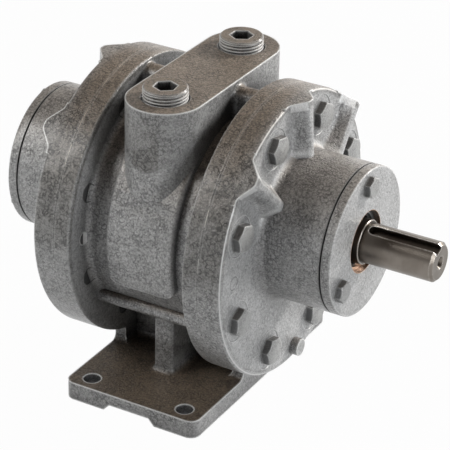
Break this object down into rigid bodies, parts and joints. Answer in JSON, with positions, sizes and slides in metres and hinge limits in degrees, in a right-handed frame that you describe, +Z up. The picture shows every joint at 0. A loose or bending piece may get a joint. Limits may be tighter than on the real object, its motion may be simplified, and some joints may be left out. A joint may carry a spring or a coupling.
{
  "type": "air vane motor",
  "caption": "Foot-mounted rotary air motor: sliding vanes in an off-centre bore turn a keyed output shaft.",
  "frame": {"origin": "centre of the foot's underside, midway between the four foot bolt holes", "axes": "+X along the output shaft towards its keyed end, +Z up, +Y across the foot"},
  "size_m": [0.2511, 0.1626, 0.1866],
  "materials": {
    "housing_paint": "grey hammered enamel over cast iron",
    "bolt_paint": "grey enamel over steel fasteners",
    "plug_paint": "grey enamel over steel plugs with bare threads",
    "shaft_steel": "ground and turned steel",
    "bearing_steel": "polished bearing steel",
    "cage_brass": "pressed brass",
    "rotor_iron": "ground cast iron",
    "vane_composite": "laminated fibre composite",
    "gasket_paper": "thin gasket sheet",
    "seal_rubber": "black nitrile rubber",
    "seal_case_metal": "copper-coloured pressed metal",
    "spring_steel": "blued spring steel"
  },
  "bodies": {
    "housing": {"body": "housing_paint", "drive_end_plate": "housing_paint", "drive_end_cap": "housing_paint", "drive_body_gasket": "gasket_paper", "drive_cap_gasket": "gasket_paper", "drive_plate_bolts": "bolt_paint", "drive_cap_bolts": "bolt_paint", "drive_dowels": "bolt_paint", "drive_bearing_outer_ring": "bearing_steel", "rear_end_plate": "housing_paint", "rear_end_cap": "housing_paint", "rear_body_gasket": "gasket_paper", "rear_cap_gasket": "gasket_paper", "rear_plate_bolts": "bolt_paint", "rear_cap_bolts": "bolt_paint", "rear_dowels": "bolt_paint", "rear_bearing_outer_ring": "bearing_steel", "seal_case": "seal_case_metal", "seal_lip": "seal_rubber", "seal_spring": "spring_steel", "port_plug_front": "plug_paint", "port_plug_rear": "plug_paint"},
    "rotor_assembly": {"shaft": "shaft_steel", "rotor": "rotor_iron", "drive_bearing_inner_ring": "bearing_steel", "rear_bearing_inner_ring": "bearing_steel", "retaining_ring": "spring_steel"},
    "drive_ball_set": {"drive_bearing_balls": "bearing_steel", "drive_bearing_cage": "cage_brass"},
    "rear_ball_set": {"rear_bearing_balls": "bearing_steel", "rear_bearing_cage": "cage_brass"},
    "sliding_vane_1": {"vane_1": "vane_composite"},
    "sliding_vane_2": {"vane_2": "vane_composite"},
    "sliding_vane_3": {"vane_3": "vane_composite"},
    "sliding_vane_4": {"vane_4": "vane_composite"},
    "sliding_vane_5": {"vane_5": "vane_composite"},
    "sliding_vane_6": {"vane_6": "vane_composite"},
    "sliding_vane_7": {"vane_7": "vane_composite"},
    "sliding_vane_8": {"vane_8": "vane_composite"}
  },
  "joints": [
    {"name": "rotor_spin", "type": "hinge", "parent": "housing", "child": "rotor_assembly", "pos_m": [0, 0, 0.1047], "axis": [1, 0, 0], "continuous": true},
    {"name": "drive_balls_roll", "type": "hinge", "parent": "housing", "child": "drive_ball_set", "pos_m": [0.0805, 0, 0.1047], "axis": [1, 0, 0], "continuous": true},
    {"name": "rear_balls_roll", "type": "hinge", "parent": "housing", "child": "rear_ball_set", "pos_m": [-0.0805, 0, 0.1047], "axis": [1, 0, 0], "continuous": true},
    {"name": "vane_1_slide", "type": "slide", "parent": "rotor_assembly", "child": "sliding_vane_1", "axis": [0, 0, 1], "range_m": [-0.0018, 0]},
    {"name": "vane_2_slide", "type": "slide", "parent": "rotor_assembly", "child": "sliding_vane_2", "axis": [0, -0.7071, 0.7071], "range_m": [-0.0018, 0]},
    {"name": "vane_3_slide", "type": "slide", "parent": "rotor_assembly", "child": "sliding_vane_3", "axis": [0, -1, 0], "range_m": [-0.0018, 0]},
    {"name": "vane_4_slide", "type": "slide", "parent": "rotor_assembly", "child": "sliding_vane_4", "axis": [0, -0.7071, -0.7071], "range_m": [-0.0018, 0]},
    {"name": "vane_5_slide", "type": "slide", "parent": "rotor_assembly", "child": "sliding_vane_5", "axis": [0, 0, -1], "range_m": [-0.0018, 0]},
    {"name": "vane_6_slide", "type": "slide", "parent": "rotor_assembly", "child": "sliding_vane_6", "axis": [0, 0.7071, -0.7071], "range_m": [-0.0018, 0]},
    {"name": "vane_7_slide", "type": "slide", "parent": "rotor_assembly", "child": "sliding_vane_7", "axis": [0, 1, 0], "range_m": [-0.0018, 0]},
    {"name": "vane_8_slide", "type": "slide", "parent": "rotor_assembly", "child": "sliding_vane_8", "axis": [0, 0.7071, 0.7071], "range_m": [-0.0018, 0]}
  ],
  "couplings": [
    {"joint": "drive_balls_roll", "follows": "rotor_spin", "ratio": 0.3969},
    {"joint": "rear_balls_roll", "follows": "rotor_spin", "ratio": 0.3969}
  ]
}
